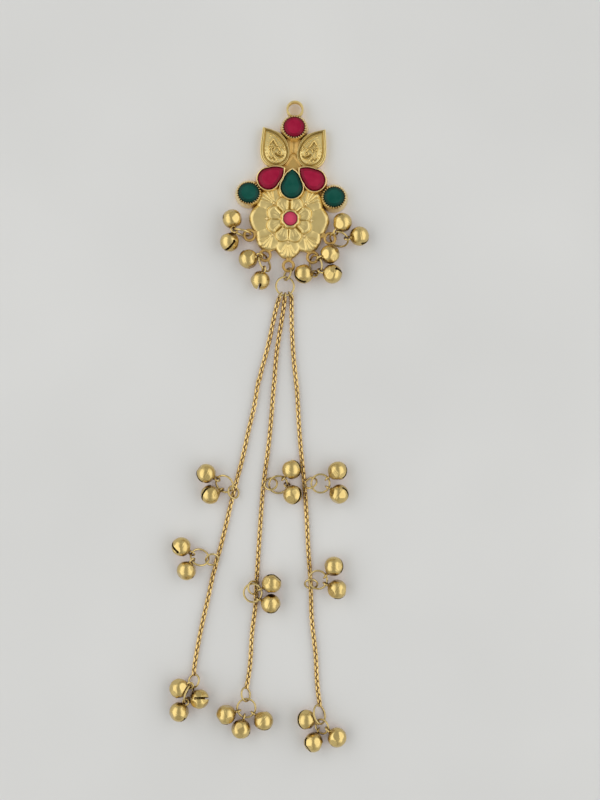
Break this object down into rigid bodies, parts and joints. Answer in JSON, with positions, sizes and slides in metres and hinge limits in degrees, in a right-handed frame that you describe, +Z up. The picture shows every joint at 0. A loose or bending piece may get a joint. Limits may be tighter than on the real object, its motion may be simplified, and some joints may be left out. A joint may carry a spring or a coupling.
{
  "type": "jhumka earring",
  "caption": "Long gilt earring: a cast flower plate with leaves and set stones, round bells on jump rings, and box chains that carry more bells.",
  "frame": {"origin": "middle of the lying earring's footprint, on the surface it rests on", "axes": "+Y along the earring towards its hanging ring, +X to the right as the front is looked at, +Z up out of the front"},
  "size_m": [0.0556, 0.1816, 0.0057],
  "materials": {
    "plate_brass": "gilt, satin with bright edges",
    "ring_brass": "gilt, bright",
    "bell_brass": "gilt, polished",
    "chain_brass": "gilt, bright",
    "red_stone": "opaque crimson glass paste, polished",
    "green_stone": "opaque green glass paste, polished",
    "pink_stone": "opaque rose glass paste, polished"
  },
  "bodies": {
    "root": {"bell_left_a": "bell_brass", "bell_left_b": "bell_brass", "bell_left_end_a": "bell_brass", "bell_left_end_b": "bell_brass", "bell_left_end_c": "bell_brass", "bell_left_high_a": "bell_brass", "bell_left_high_b": "bell_brass", "bell_left_low_a": "bell_brass", "bell_left_low_b": "bell_brass", "bell_low_left_a": "bell_brass", "bell_low_left_b": "bell_brass", "bell_low_right_a": "bell_brass", "bell_low_right_b": "bell_brass", "bell_low_right_c": "bell_brass", "bell_mid_end_a": "bell_brass", "bell_mid_end_b": "bell_brass", "bell_mid_end_c": "bell_brass", "bell_mid_high_a": "bell_brass", "bell_mid_high_b": "bell_brass", "bell_mid_low_a": "bell_brass", "bell_mid_low_b": "bell_brass", "bell_right_a": "bell_brass", "bell_right_b": "bell_brass", "bell_right_end_a": "bell_brass", "bell_right_end_b": "bell_brass", "bell_right_end_c": "bell_brass", "bell_right_high_a": "bell_brass", "bell_right_high_b": "bell_brass", "bell_right_low_a": "bell_brass", "bell_right_low_b": "bell_brass", "chain_left": "chain_brass", "chain_middle": "chain_brass", "chain_right": "chain_brass", "link_centre": "ring_brass", "plate": "plate_brass", "ring_centre": "ring_brass", "ring_left": "ring_brass", "ring_left_end": "ring_brass", "ring_left_high": "ring_brass", "ring_left_low": "ring_brass", "ring_low_left": "ring_brass", "ring_low_right": "ring_brass", "ring_mid_end": "ring_brass", "ring_mid_high": "ring_brass", "ring_mid_low": "ring_brass", "ring_right": "ring_brass", "ring_right_end": "ring_brass", "ring_right_high": "ring_brass", "ring_right_low": "ring_brass", "stone_centre": "pink_stone", "stone_drop_left": "red_stone", "stone_drop_middle": "green_stone", "stone_drop_right": "red_stone", "stone_side_left": "green_stone", "stone_side_right": "green_stone", "stone_top": "red_stone"}
  },
  "joints": []
}
